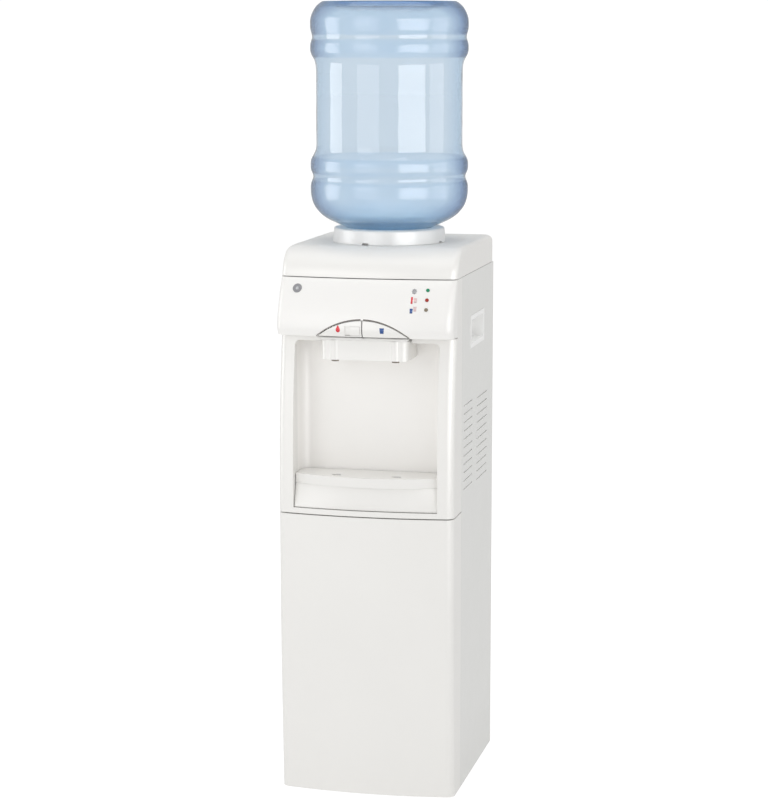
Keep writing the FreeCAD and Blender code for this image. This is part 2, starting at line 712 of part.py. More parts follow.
def drip_tray():
    low, high = dim("tray_low"), dim("tray_high")
    outer = tray_loft("tray_outer", [(low, -198.8, -189), (high, -199.5, -178)])
    inner = tray_loft("tray_inner", [(low + 2.5, -198.8, -188.4), (high + 1, -199.5, -177.7)], 2.5)
    node("drip_tray", cut("drip_tray", outer, inner))

    low, high = dim("cover_low"), dim("cover_high")
    lip = tray_loft("cover_lip", [(low, -203.6, -178.2), (high, -204.6, -178.8)])
    hollow = tray_loft("cover_hollow", [(low - 1, -203.6, -178.2), (high - 2.8, -204.4, -178.6)], 2.8)
    drops = []
    for side in (-1, 1):
        centre = side * dim("faucet_x")
        ends = [rod(f"drop_end_{side}_{i}", "z", 4.5, centre + 4 * i, -179, (540, 570)) for i in (-1, 1)]
        middle = box(f"drop_mid_{side}", (centre - 4, centre + 4), (-183.5, -174.5), (540, 570))
        drops.append(fuse(f"drop_{side}", middle, *ends))
    node("drip_cover", cut("drip_cover", lip, hollow, *drops))


# ---------------------------------------------------------------- top cover, collar, bottle
TOP_STEPS = 9
NOTCH_START = -102
NOTCH_COUNT = 4


def top_solid(name, inset, low):
    """Cover's outer or inner form: the front rolls over in a quarter ellipse."""
    rise = dim("top_high - top_low") - inset
    round_over = dim("top_round")
    wires = []
    for i in range(TOP_STEPS + 1):
        angle = math.pi / 2 * i / TOP_STEPS
        z = dim("top_low") + rise * math.sin(angle)
        front = dim("top_front") + inset + dim("top_depth") * (1 - math.cos(angle))
        above = max(0, z - (dim("top_high") - inset - round_over))
        side = round_over - math.sqrt(max(0, round_over ** 2 - above ** 2))
        z = low if i == 0 else z
        wires.append(outline(z, dim("cab_half") - inset - side, front, dim("cab_rear") - inset - side,
                             dim("bow"), dim("corner") - inset * 0.8, 12))
    return feature(name, Part.makeLoft(wires, True, False))


def top_cover():
    outer = top_solid("top_outer", 0, dim("top_low"))
    inner = top_solid("top_inner", 3, dim("top_low") - 1)
    hole = rod("top_hole", "z", "spigot_rad + 0.5", 0, "axis_y", (900, 960))
    node("top_cover", cut("top_cover", outer, inner, hole))


def bottle_collar():
    """Seat ring that carries the bottle's shoulder, with bayonet notches at its foot."""
    foot = "top_high + 0.3"
    ring = lathe("collar_ring", [
        ("spigot_rad", 920), ("spigot_rad", foot), ("collar_rad", foot),
        ("collar_rad - 1.5", "collar_high - 4"), ("collar_rad - 5.5", "collar_high", 4, -1),
        (77, "collar_high"), (50, 948), (50, 944), (72, 941), ("spigot_rad - 3", 938),
        ("spigot_rad - 3", 920),
    ], 0, "axis_y")
    notches = []
    for i in range(NOTCH_COUNT):
        notch = box(f"collar_notch_{i}", (88, 110), (-6, 6), (940, 944.5))
        angle = NOTCH_START + i * 360 / NOTCH_COUNT
        turn = Placement(Vector(0, dim("axis_y"), 0), Rotation(Vector(0, 0, 1), angle))
        notch = group(f"collar_notch_place_{i}", notch)
        notch.Placement = turn
        notches.append(notch)
    node("bottle_collar", cut("bottle_collar", ring, *notches))


def bottle():
    """Inverted bottle: neck, conical shoulder, two pairs of stacking rings and a recessed base."""
    wall = dim("bottle_wall")
    body, ring, neck = dim("bottle_rad"), dim("ring_rad"), dim("neck_rad")
    low, high = dim("neck_low"), dim("bottle_high")
    outside = [
        (neck, low), (neck, 936), (31, 939), (46, 946.4), (62, 957), (80, 969), (93, 973.5), (103, 978),
        (115, 985.5), (123, 993.5), (129, 1001.5), (133, 1010), (ring - 0.4, 1022), (ring, 1032),
        (ring, 1041), (131, 1052), (131, 1056), (ring, 1064), (ring, 1081), (132, 1089), (127.5, 1096),
        (body, 1105), (body, 1236), (127.5, 1249), (132, 1258), (ring, 1265), (ring, 1281), (132.3, 1289),
        (132.3, 1293), (ring, 1305), (ring, 1321), (134, 1329), (128.5, 1340), (122, 1348), (114, high),
    ]
    base = [(104, high - 1), (92, high - 9), (60, high - 13), (0, high - 14)]
    inside = [
        (0, high - 14 - wall), (60, high - 13 - wall), (91, high - 9 - wall), (103.5, high - 1 - wall),
        (113, high - wall),
    ]
    for radius, z in reversed(outside[:-1]):
        on_shoulder = dim("top_high") - 5 < z < 1000
        inside.append((radius - 0.93 * wall, z + 0.7 * wall) if on_shoulder else (radius - wall, z))
    node("bottle", lathe("bottle", outside + base + inside))
    move(nodes[-1], 0, "axis_y")
    cap = lathe("bottle_cap", [
        ("probe_rad + 0.3", 893), (30, 893), (31, 894), (31, 921), (29.5, 922), ("neck_rad + 0.15", 922),
        ("neck_rad + 0.15", 895.8), ("probe_rad + 2", 895.8), ("probe_rad + 2", 912),
        ("probe_rad + 0.3", 912),
    ], 0, "axis_y")
    node("bottle_cap", cap)


# ---------------------------------------------------------------- water system
def water_system():
    """Receiver and feed probe over the cold tank, hot tank below, hoses and drain."""
    node("water_receiver", lathe("water_receiver", [
        (12, 878.4), (69, 878.4), (69, 882), (47, 882), (47, 906), (75, 931), (75, 937), (72.5, 937),
        (72.5, 932), (44.5, 907), (44.5, 885), (12, 885),
    ], 0, "axis_y"))
    probe = lathe("probe_turned", [
        (5, 874), (11.7, 874), (11.7, 885.3), (15, 885.3), (15, 888), ("probe_rad", 888), ("probe_rad", 930),
        (4, 938), (0, 938), (0, 931), (5, 931),
    ], 0, "axis_y")
    across = rod("probe_port_across", "x", 2.5, (-20, 20), "axis_y", 924)
    along = rod("probe_port_along", "y", 2.5, 0, (-26, 14), 924)
    node("feed_probe", cut("feed_probe", probe, across, along))

    tank = lathe("cold_tank_turned", [
        (0, "tank_low"), ("tank_rad", "tank_low"), ("tank_rad", "tank_high"), ("tank_rad - 1.2", "tank_high"),
        ("tank_rad - 1.2", "tank_low + 1.2"), (0, "tank_low + 1.2"),
    ], 0, "axis_y")
    outlet = rod("cold_outlet", "y", "hose_rad + 0.3", "faucet_x", (-110, -40), "arm_z")
    sump = rod("cold_sump", "z", "hose_rad + 0.3", 35, 10, (700, 760))
    node("cold_tank", cut("cold_tank", tank, outlet, sump))
    foam = lathe("foam_turned", [
        (0, "tank_low - 12"), ("foam_rad", "tank_low - 12"), ("foam_rad", 884), (78, 884),
        (78, "tank_low - 0.5"), (0, "tank_low - 0.5"),
    ], 0, "axis_y")
    suction_slot = rod("foam_suction", "y", 4, 0, (60, 120), 864)
    capillary_slot = rod("foam_capillary", "y", 4, 30, (50, 120), 796)
    foam_outlet = rod("foam_outlet", "y", "hose_rad + 0.4", "faucet_x", (-110, -50), "arm_z")
    foam_sump = rod("foam_sump", "z", "hose_rad + 0.4", 35, 10, (700, 760))
    passages = (foam_outlet, foam_sump, suction_slot, capillary_slot)
    node("tank_insulation", cut("tank_insulation", foam, *passages))
    coil = coil_shape(dim("tank_rad") + 3.9, 14, 5, 3.2, 0, dim("axis_y"), 794)
    node("evaporator_coil", feature("evaporator_coil", coil))

    width = ("6 - cab_half", "cab_half - 6")
    upper = box("frame_shelf_upper", width, (-92, 110), ("tank_low - 14", "tank_low - 12.5"))
    lower = box("frame_shelf_lower", width, (-92, 110), ("boiler_low - 2", "boiler_low - 0.5"))
    web = box("frame_web", width, (110, 111.5), ("boiler_low - 2", "tank_low - 12.5"))
    holes = [
        rod("shelf_hole_feed", "z", 6, 35, 10, (500, 750)),
        rod("shelf_hole_boiler", "z", 6, "boiler_x", "boiler_y", (530, 545)),
        rod("shelf_hole_drain", "z", 6, "drain_x", "boiler_y", (530, 545)),
    ]
    node("tank_frame", cut("tank_frame", fuse("tank_frame_blank", upper, lower, web), *holes))

    boiler = lathe("boiler_turned", [
        (0, "boiler_low"), ("boiler_rad", "boiler_low"), ("boiler_rad", "boiler_high"), (0, "boiler_high"),
        (0, "boiler_high - 1.2"), ("boiler_rad - 1.2", "boiler_high - 1.2"),
        ("boiler_rad - 1.2", "boiler_low + 1.2"), (0, "boiler_low + 1.2"),
    ], "boiler_x", "boiler_y")
    ports = [
        rod("boiler_port_feed", "z", "hose_rad + 0.3", "boiler_x", "boiler_y", (530, 550)),
        rod("boiler_port_drain", "z", "hose_rad + 0.3", "drain_x", "boiler_y", (530, 550)),
        rod("boiler_port_top", "z", "hose_rad + 0.3", "-faucet_x", -60, (680, 700)),
    ]
    node("hot_tank", cut("hot_tank", boiler, *ports))
    node("heater_band", lathe("heater_band", [
        ("boiler_rad + 0.3", 560), ("boiler_rad + 2.5", 560), ("boiler_rad + 2.5", 600),
        ("boiler_rad + 0.3", 600),
    ], "boiler_x", "boiler_y"))
    node("hot_tank_jacket", lathe("hot_tank_jacket", [
        ("boiler_rad + 3", "boiler_low"), ("boiler_rad + 11", "boiler_low"),
        ("boiler_rad + 11", "boiler_high"), ("boiler_rad + 3", "boiler_high"),
    ], "boiler_x", "boiler_y"))

    radius, bore = dim("hose_rad"), dim("hose_bore")
    hoses = {
        "cold_hose": [("faucet_x", -111.8, "arm_z"), ("faucet_x", -50, "arm_z")],
        "hot_hose": [("-faucet_x", -60, 686), ("-faucet_x", -60, 712), ("-faucet_x", -98, 712),
                     ("-faucet_x", -98, "arm_z"), ("-faucet_x", -111.8, "arm_z")],
        "feed_hose": [(35, 10, 748), (35, 10, 515), ("boiler_x", "boiler_y", 515),
                      ("boiler_x", "boiler_y", 543)],
        "drain_hose": [("drain_x", "boiler_y", 543), ("drain_x", "boiler_y", "drain_z"),
                       ("drain_x", 149.8, "drain_z")],
    }
    for name, points in hoses.items():
        node(name, feature(name, pipe_shape(points, 10, radius, bore)))
    fitting = rod("drain_barrel", "y", 8, "drain_x", (150, 184), "drain_z")
    flange = rod("drain_flange", "y", 13, "drain_x", ("cab_rear - 1.4", "cab_rear + 1"), "drain_z")
    bore_hole = rod("drain_bore", "y", "hose_bore", "drain_x", (140, 190), "drain_z")
    node("drain_fitting", cut("drain_fitting", fuse("drain_blank", fitting, flange), bore_hole))
    crown = rod("drain_cap_crown", "y", 11, "drain_x", (172, 188), "drain_z")
    wing_z = ("drain_z - 2.5", "drain_z + 2.5")
    wings = box("drain_cap_wings", ("drain_x - 15", "drain_x + 15"), (182, 188), wing_z)
    socket = rod("drain_cap_socket", "y", 8.06, "drain_x", (170, 184.5), "drain_z")
    node("drain_cap", cut("drain_cap", fuse("drain_cap_blank", crown, wings), socket))


# ---------------------------------------------------------------- refrigeration
RUNS = 13
WIRE_PITCH = 18
WIRE_SIDE = 6


def refrigeration():
    shell_steel = lathe("compressor_shell", [
        (0, 30), (88, 30), (88, 33), (58, 33), (58, 40), ("comp_rad - 8", 44), ("comp_rad", 58),
        ("comp_rad", 108), ("comp_rad + 2", 108), ("comp_rad + 2", 112), ("comp_rad", 112),
        ("comp_rad", 160), ("comp_rad - 9", 180),
        (40, 193), (0, 197), (0, 189), (37, 185.5), ("comp_rad - 15", 174), ("comp_rad - 8", 158),
        ("comp_rad - 8", 60), ("comp_rad - 15", 50), (0, 48),
    ], "comp_x", "comp_y")
    suction_port = rod("compressor_port", "y", 3.3, 0, ("comp_y + 40", "comp_y + 90"), 150)
    node("compressor", cut("compressor", shell_steel, suction_port))
    mounts = []
    for i in range(4):
        angle = math.radians(45 + 90 * i)
        x = f"comp_x + {round(78 * math.cos(angle), 3)}"
        y = f"comp_y + {round(78 * math.sin(angle), 3)}"
        profile = [(0, 9.3), (9, 9.3), (9, 14), (7, 17), (7, 24), (9, 29.9), (0, 29.9)]
        mounts.append(lathe(f"mount_{i}", profile, x, y))
    node("compressor_mounts", group("compressor_mounts", *mounts))

    half, y = dim("coil_half"), dim("coil_y")
    low, pitch = dim("coil_low"), dim("coil_pitch")
    points = [(-half - 14, y, low + pitch * (RUNS - 1))]
    for i in reversed(range(RUNS)):
        end = half if (RUNS - 1 - i) % 2 == 0 else -half
        if i:
            points += [(end, y, low + pitch * i), (end, y, low + pitch * (i - 1))]
    points += [(half + 18, y, low), (half + 18, y, low - 36)]
    parts = [feature("condenser_pipe", pipe_shape(points, 17, dim("pipe_rad")))]
    height = ("coil_low - 12", f"coil_low + {RUNS - 1} * coil_pitch + 12")
    for i in range(-WIRE_SIDE, WIRE_SIDE + 1):
        for side in (-1, 1):
            wire_y = f"coil_y + {side} * (pipe_rad + 0.82)"
            parts.append(rod(f"condenser_wire_{i}_{side}", "z", 0.8, i * WIRE_PITCH, wire_y, height))
    node("condenser", group("condenser", *parts))

    brackets = []
    for i, (x, step) in enumerate([(x, step) for x in (-81, 81) for step in (0, RUNS - 2)]):
        base = f"coil_low + {step} * coil_pitch"
        brackets.append(box(f"bracket_{i}", (x - 4, x + 4), ("cab_rear - 1.5", "rear_most"),
                            (f"{base} + pipe_rad + 0.1", f"{base} + coil_pitch - pipe_rad - 0.1")))
    node("condenser_brackets", group("condenser_brackets", *brackets))

    lines = {
        "suction": ([(0, 72, 864), (0, 150, 864), (0, 150, 150), (0, 129.8, 150)], 12, 3.2),
        "discharge": ([(40, 129.8, 120), (40, 148, 120), (40, 148, 210), (40, 182, 210), (-138, 182, 210),
                       (-138, 182, 838), (-138, y, 838), (-half - 14.2, y, 838)], 6, 2.4),
        "capillary": ([(30, 65.8, 796), (30, 140, 796), (30, 140, 320), (130, 140, 320), (130, 140, 110),
                       (130, y, 110), (130, y, 129.8)], 8, 1.2),
    }
    pipes = []
    for name, (points, bend, radius) in lines.items():
        pipes.append(feature(name + "_line", pipe_shape(points, bend, radius)))
    node("refrigerant_lines", group("refrigerant_lines", *pipes))
    node("filter_drier", lathe("filter_drier", [
        (0, 130), (4, 130), (9, 136), (9, 210), (4, 224), (0, 224),
    ], "coil_half + 18", "coil_y"))


# ---------------------------------------------------------------- rear switch plate
def switch_plate():
    """Electrical box in the compressor bay, closed by a plate with two rockers and the power inlet."""
    x, y = "plate_x", "plate_y"
    case = box("case_outside", (f"{x} - 40", f"{x} + 30"), (112, f"{y} - 0.2"), (60, 190))
    case_hollow = box("case_hollow", (f"{x} - 38", f"{x} + 28"), (114, 170), (62, 188))
    node("electrical_box", cut("electrical_box", case, case_hollow))
    plate = box("plate_blank", (f"{x} - 44", f"{x} + 36"), (y, f"{y} + 2.5"), (54, 196))
    tools = [box("plate_inlet", (f"{x} - 15", f"{x} + 15"), (100, 200), (89, 111))]
    for side in (-1, 1):
        centre = f"{x} + {side} * rocker_x"
        window_z = ("rocker_z - 11.3", "rocker_z + 11.3")
        tools.append(box(f"plate_rocker_{side}", (f"{centre} - 7", f"{centre} + 7"), (100, 200), window_z))
        seat_x = (f"{centre} - 9", f"{centre} + 9")
        tools.append(rod(f"plate_pivot_{side}", "x", 0.86, seat_x, "rocker_y", "rocker_z"))
    node("switch_plate", cut("switch_plate", plate, *tools))
    for name, side in (("cold_switch", -1), ("hot_switch", 1)):
        profile = [(-3, -3.5), (-0.5, -10), (4.2, -10), (2, 0), (4.2, 10), (-0.5, 10), (-3, 3.5)]
        rocker = prism(name + "_rocker", "YZ_Plane", profile, -6.5, 6.5)
        pins = rod(name + "_pins", "x", 0.8, (-8.6, 8.6), 0, 0)
        piece = fuse(name, rocker, pins)
        piece.Placement = Placement(Vector(), Rotation(Vector(1, 0, 0), -12))
        node(name, move(piece, f"{x} + {side} * rocker_x", "rocker_y", "rocker_z"))
    inlet = box("inlet_body", (f"{x} - 14.8", f"{x} + 14.8"), (130, f"{y} + 3.5"), (89.2, 110.8))
    socket = box("inlet_socket", (f"{x} - 12.5", f"{x} + 12.5"), (142, 170), (92, 108))
    blades = []
    for offset in (-7, 0, 7):
        blade_x = (f"{x} + {offset - 1}", f"{x} + {offset + 1}")
        blades.append(box(f"inlet_blade_{offset}", blade_x, (141, 157), (96, 102)))
    node("power_inlet", fuse("power_inlet", cut("inlet_shell", inlet, socket), *blades))


# ---------------------------------------------------------------- build and write
floor_pan()
side_panel("side_panel_left", -1)
side_panel("side_panel_right", 1)
side_grip("side_grip_left", -1)
side_grip("side_grip_right", 1)
rear_panel()
lower_front_panel()
front_frame()
recess_liner()
header()
keys()
faucet_housing()
faucet("hot", -1)
faucet("cold", 1)
drip_tray()
top_cover()
bottle_collar()
bottle()
water_system()
refrigeration()
switch_plate()
doc.recompute()

failed = [item.Name for item in doc.Objects if "Invalid" in item.State or "Error" in item.State]
for part in nodes:
    if part.Shape.isNull() or not part.Shape.isValid() or not part.Shape.Solids:
        failed.append(part.Label)
if failed:
    raise RuntimeError("not built: " + ", ".join(failed))
for part in nodes:
    part.Shape.exportStep(f"parts/{part.Label}.step")
    print(f"{part.Label}: {len(part.Shape.Solids)} solids, {part.Shape.Volume / 1000:.2f} cm3")
print(len(nodes), "nodes")
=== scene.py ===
"""Looks of the free-standing bottled water cooler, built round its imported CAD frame."""

import json
import math

import bmesh
import bpy
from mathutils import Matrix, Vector
from mathutils.bvhtree import BVHTree


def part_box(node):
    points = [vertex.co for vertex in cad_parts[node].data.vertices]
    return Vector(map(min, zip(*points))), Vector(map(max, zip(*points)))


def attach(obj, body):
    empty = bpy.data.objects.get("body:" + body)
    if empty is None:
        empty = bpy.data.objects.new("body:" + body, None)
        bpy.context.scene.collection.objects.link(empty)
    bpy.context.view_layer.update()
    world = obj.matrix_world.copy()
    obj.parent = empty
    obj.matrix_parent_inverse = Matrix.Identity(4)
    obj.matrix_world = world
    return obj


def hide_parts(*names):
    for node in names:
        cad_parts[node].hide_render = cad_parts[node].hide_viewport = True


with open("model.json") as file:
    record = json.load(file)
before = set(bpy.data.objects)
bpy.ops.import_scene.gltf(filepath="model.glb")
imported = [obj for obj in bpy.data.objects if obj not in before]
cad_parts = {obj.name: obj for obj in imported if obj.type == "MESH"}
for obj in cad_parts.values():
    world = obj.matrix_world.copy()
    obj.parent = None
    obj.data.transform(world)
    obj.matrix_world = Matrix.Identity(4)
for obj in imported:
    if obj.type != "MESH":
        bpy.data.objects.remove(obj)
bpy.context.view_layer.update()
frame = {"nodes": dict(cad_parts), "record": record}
NODES = frame["nodes"]
SCENE = bpy.context.scene


# ---------------------------------------------------------------- materials
def node_of(tree, kind, **values):
    """New shader node with some of its properties or input sockets set."""
    made = tree.nodes.new(kind)
    for key, value in values.items():
        if hasattr(made, key):
            setattr(made, key, value)
        else:
            made.inputs[key.replace("_", " ")].default_value = value
    return made


def noise(tree, coords, scale, detail, rough):
    """Value of a noise texture over object coordinates, which are in metres."""
    made = node_of(tree, "ShaderNodeTexNoise")
    made.inputs["Scale"].default_value = scale
    made.inputs["Detail"].default_value = detail
    made.inputs["Roughness"].default_value = rough
    tree.links.new(coords, made.inputs["Vector"])
    return made.outputs["Fac"]


def mapped(tree, value, low, high, to_low, to_high):
    """Value carried from one range to another, and held at its two ends."""
    made = node_of(tree, "ShaderNodeMapRange")
    made.inputs["From Min"].default_value = low
    made.inputs["From Max"].default_value = high
    made.inputs["To Min"].default_value = to_low
    made.inputs["To Max"].default_value = to_high
    tree.links.new(value, made.inputs["Value"])
    return made.outputs["Result"]


def mixed(tree, factor, first, second):
    """Blend of two colours, each a socket or a plain RGBA colour."""
    made = node_of(tree, "ShaderNodeMix", data_type="RGBA")
    for socket, value in ((made.inputs["Factor"], factor), (made.inputs[6], first), (made.inputs[7], second)):
        if isinstance(value, (int, float, tuple)):
            socket.default_value = value
        else:
            tree.links.new(value, socket)
    return made.outputs[2]


def maths(tree, operation, first, second, clamp=False):
    """Value of a sum on two sockets or numbers."""
    made = node_of(tree, "ShaderNodeMath", operation=operation, use_clamp=clamp)
    for socket, value in zip(made.inputs, (first, second)):
        if isinstance(value, (int, float)):
            socket.default_value = value
        else:
            tree.links.new(value, socket)
    return made.outputs[0]


def rgba(colour):
    return (*colour, 1.0)


# A noise texture is (scale, detail, roughness). Where a finish gives the scale, only the other two are here.
BLOTCHES = (4.0, 0.6)
GLOSS_CLOUDS = (4.0, 0.65)
GRAIN = (2.0, 0.5)
SCUFFS = (60.0, 6.0, 0.7)
GLOSS_PER_GRAIN = 0.12
PATCH_SPAN = (0.35, 0.7)
GLOSS_SPAN = (0.3, 0.7)
GLOSS_SPREAD = 0.06
TINT_SHARE = 0.985
DIRT_TOP = 0.12
DIRT_COLOUR = (0.42, 0.39, 0.34)


def material(name, colour, tint=None, rough=0.4, grain=700.0, height=0.00003, metal=0.0, coat=0.0,
             blotch=7.0, dirt=0.0, brushed=None, specular=0.5):
    """Procedural finish: two close colours in soft blotches, uneven gloss and a fine grain."""
    made = bpy.data.materials.new(name)
    made.use_nodes = True
    tree = made.node_tree
    shader = tree.nodes["Principled BSDF"]
    coords = node_of(tree, "ShaderNodeTexCoord").outputs["Object"]
    tint = tint or tuple(TINT_SHARE * c for c in colour)
    patches = noise(tree, coords, blotch, *BLOTCHES)
    shade = mixed(tree, mapped(tree, patches, *PATCH_SPAN, 0.0, 1.0), rgba(colour), rgba(tint))
    if dirt:
        split = node_of(tree, "ShaderNodeSeparateXYZ")
        tree.links.new(coords, split.inputs["Vector"])
        low = mapped(tree, split.outputs["Z"], 0.0, DIRT_TOP, dirt, 0.0)
        scuffed = maths(tree, "MULTIPLY", low, noise(tree, coords, *SCUFFS))
        shade = mixed(tree, scuffed, shade, rgba(DIRT_COLOUR))
    tree.links.new(shade, shader.inputs["Base Color"])
    stretched = coords
    if brushed:
        stretch = node_of(tree, "ShaderNodeMapping")
        stretch.inputs["Scale"].default_value = brushed
        tree.links.new(coords, stretch.inputs["Vector"])
        stretched = stretch.outputs["Vector"]
    gloss = noise(tree, stretched, grain * GLOSS_PER_GRAIN, *GLOSS_CLOUDS)
    uneven = mapped(tree, gloss, *GLOSS_SPAN, rough - GLOSS_SPREAD, rough + GLOSS_SPREAD)
    tree.links.new(uneven, shader.inputs["Roughness"])
    bump = node_of(tree, "ShaderNodeBump")
    bump.inputs["Strength"].default_value = 0.6
    bump.inputs["Distance"].default_value = height
    tree.links.new(noise(tree, stretched, grain, *GRAIN), bump.inputs["Height"])
    tree.links.new(bump.outputs["Normal"], shader.inputs["Normal"])
    shader.inputs["Metallic"].default_value = metal
    shader.inputs["Specular IOR Level"].default_value = specular
    shader.inputs["Coat Weight"].default_value = coat
    shader.inputs["Coat Roughness"].default_value = 0.12
    return made


FINISHES = {
    "white_plastic": dict(colour=(0.825, 0.815, 0.79), rough=0.36, dirt=0.08),
    "header_white": dict(colour=(0.86, 0.85, 0.83), rough=0.36, specular=0.28),
    # The liner is paler than the cabinet plastic: painted light that lifts the recess out of its shade.
    "liner_white": dict(colour=(0.91, 0.895, 0.87), rough=0.45),
    "white_steel": dict(colour=(0.765, 0.765, 0.745), rough=0.4, grain=420.0, height=0.00006, dirt=0.1),
    "zinc_steel": dict(colour=(0.50, 0.51, 0.52), tint=(0.40, 0.41, 0.43), rough=0.42, metal=0.9,
                       blotch=45.0),
    "stainless": dict(colour=(0.62, 0.62, 0.63), rough=0.28, metal=1.0, brushed=(1.0, 1.0, 0.04)),
    "black_enamel": dict(colour=(0.018, 0.018, 0.019), rough=0.36, grain=300.0, height=0.00008),
    "copper": dict(colour=(0.72, 0.36, 0.22), tint=(0.50, 0.22, 0.13), rough=0.3, metal=1.0, blotch=30.0),
    "rubber": dict(colour=(0.035, 0.035, 0.035), rough=0.7, grain=500.0, height=0.00008),
    "silicone": dict(colour=(0.78, 0.79, 0.78), rough=0.38),
    "foam": dict(colour=(0.86, 0.86, 0.85), rough=0.85, grain=260.0, height=0.0005),
    "cap_blue": dict(colour=(0.05, 0.14, 0.42), rough=0.42),
    "nylon": dict(colour=(0.78, 0.775, 0.75), rough=0.45),
    "badge_grey": dict(colour=(0.30, 0.30, 0.31), tint=(0.24, 0.24, 0.26), rough=0.25),
    "lamp_green": dict(colour=(0.012, 0.25, 0.12), rough=0.18, coat=0.6),
    "lamp_red": dict(colour=(0.38, 0.03, 0.02), rough=0.18, coat=0.6),
    "lamp_amber": dict(colour=(0.24, 0.20, 0.14), rough=0.2, coat=0.6),
    "board_green": dict(colour=(0.01, 0.09, 0.04), rough=0.4),
    "spring_steel": dict(colour=(0.58, 0.58, 0.60), rough=0.25, metal=1.0),
    "black_plastic": dict(colour=(0.022, 0.022, 0.023), rough=0.45),
    "switch_red": dict(colour=(0.45, 0.015, 0.012), rough=0.28),
    "switch_green": dict(colour=(0.01, 0.20, 0.06), rough=0.28),
    "drier_copper": dict(colour=(0.66, 0.33, 0.21), tint=(0.45, 0.20, 0.13), rough=0.34, metal=1.0,
                         blotch=40.0),
}
MATERIALS = {name: material(name, **finish) for name, finish in FINISHES.items()}
# Whiter than the cabinet plastic; on the bottle collar this is painted light that lifts it out of the shade
# the bottle casts on it.
BRIGHT_WHITE = material("bright_white", (0.93, 0.93, 0.92), rough=0.34)
NOZZLE = material("nozzle_grey", (0.20, 0.17, 0.14), rough=0.4)
PALE_MARK = material("pale_mark", (0.70, 0.52, 0.52), rough=0.4)
# Painted shade: the dark band laid in front of the header along the groove over the keys.
GROOVE_SHADE = material("groove_shadow", (0.11, 0.095, 0.085), (0.16, 0.14, 0.12), rough=0.7)
MARK_RED = material("mark_red", (0.72, 0.03, 0.045), rough=0.35)
MARK_BLUE = material("mark_blue", (0.02, 0.08, 0.28), rough=0.35)
PALE_GREY = material("pale_grey", (0.50, 0.51, 0.53), rough=0.25)
MARK_GREY = material("mark_grey", (0.34, 0.34, 0.35), rough=0.35)


# Bottle from neck to base as (foot, top, share): 1 on the ringed ends, 0 on the smooth wall, 0.15 in grooves.
RINGED_BANDS = (
    (0.89, 0.975, 0.0), (0.987, 1.046, 1.0), (1.049, 1.058, 0.15), (1.061, 1.086, 1.0),
    (1.089, 1.256, 0.0), (1.259, 1.285, 1.0), (1.288, 1.294, 0.15), (1.297, 1.36, 1.0),
)
SMOOTH_SHADES = ((0.765, 0.826, 0.880), (0.725, 0.795, 0.858))
RINGED_SHADES = ((0.735, 0.815, 0.885), (0.640, 0.745, 0.850))
SMOOTH_EDGE, RINGED_EDGE = (0.46, 0.615, 0.765), (0.03, 0.13, 0.36)
NECK_BLUE, BASE_BLUE = (0.42, 0.64, 0.82), (0.26, 0.44, 0.70)
EDGE_FACING = (0.33, 0.86)
# Painted shade: the edge-on tint is scaled across the bottle, deeper on its right edge than on its left.
PAINTED_SHADE_SPAN, PAINTED_SHADE_LEFT, PAINTED_SHADE_RIGHT = 0.13, 0.7, 1.0
NECK_SPAN, NECK_SHARE = (0.955, 1.0), 0.75
BASE_SPAN, BASE_SHARE = (1.3435, 1.3505), 0.85
SHELL_CLOUDS = (16.0, 4.0, 0.55)
FROST_NOISE, FROST_SPAN, FROST_ROUGH = (420.0, 3.0, 0.6), (0.3, 0.7), (0.05, 0.16)
CLEAR_ROUGH = 0.02
PIMPLE_NOISE, PIMPLE_SHARE = (520.0, 2.0, 0.5), 0.55
WAVE_NOISE = (22.0, 2.0, 0.5)


def banded(tree, height, bands):
    """Value that steps over height from band to band, each (foot, top, value)."""
    low, high = bands[0][0], bands[-1][1]
    ramp = node_of(tree, "ShaderNodeValToRGB")
    elements = ramp.color_ramp.elements
    elements.remove(elements[1])
    stops = [(z, value) for foot, top, value in bands for z in (foot, top)]
    for i, (z, value) in enumerate(stops):
        place = (z - low) / (high - low)
        stop = elements[0] if i == 0 else elements.new(place)
        stop.position = place
        stop.color = (value, value, value, 1.0)
    tree.links.new(mapped(tree, height, low, high, 0.0, 1.0), ramp.inputs["Fac"])
    return ramp.outputs["Color"]


